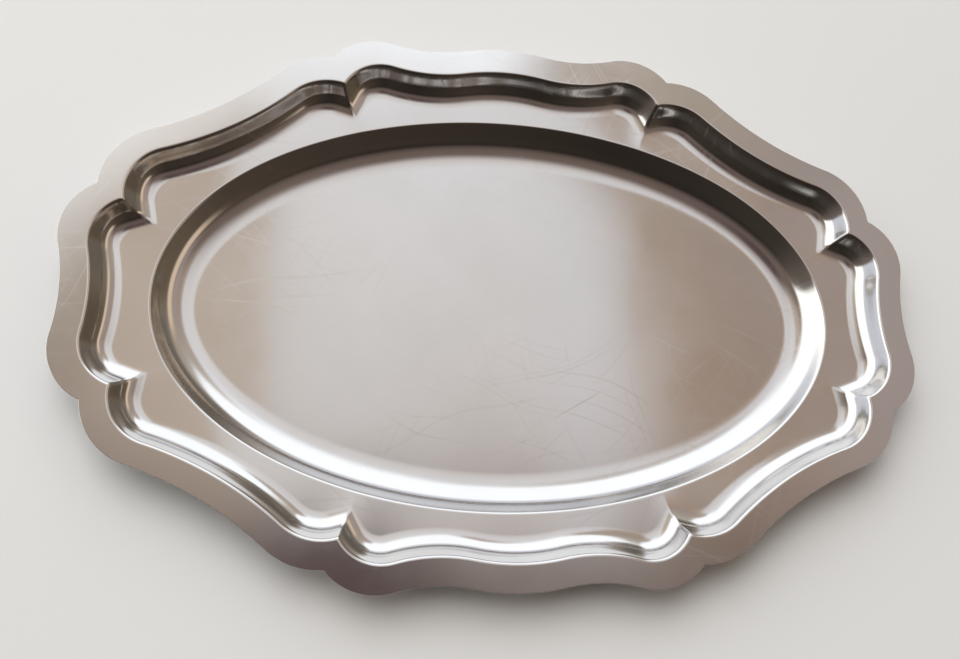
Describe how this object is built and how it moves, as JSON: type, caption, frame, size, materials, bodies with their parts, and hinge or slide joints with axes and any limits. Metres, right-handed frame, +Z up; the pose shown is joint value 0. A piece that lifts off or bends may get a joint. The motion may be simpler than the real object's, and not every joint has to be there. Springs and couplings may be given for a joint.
{
  "type": "serving tray",
  "caption": "Oval pressed-metal serving tray with a scalloped flat rim, a stepped sloping border and a shallow oval well with a flat floor.",
  "frame": {"origin": "middle of the tray on the surface it stands on", "axes": "+X along the tray's long axis, +Y across it, +Z up out of the well"},
  "size_m": [0.45, 0.2926, 0.0231],
  "materials": {
    "stainless_steel": "satin-polished stainless steel with fine random scratches from use"
  },
  "bodies": {
    "root": {"pressed_tray": "stainless_steel"}
  },
  "joints": []
}
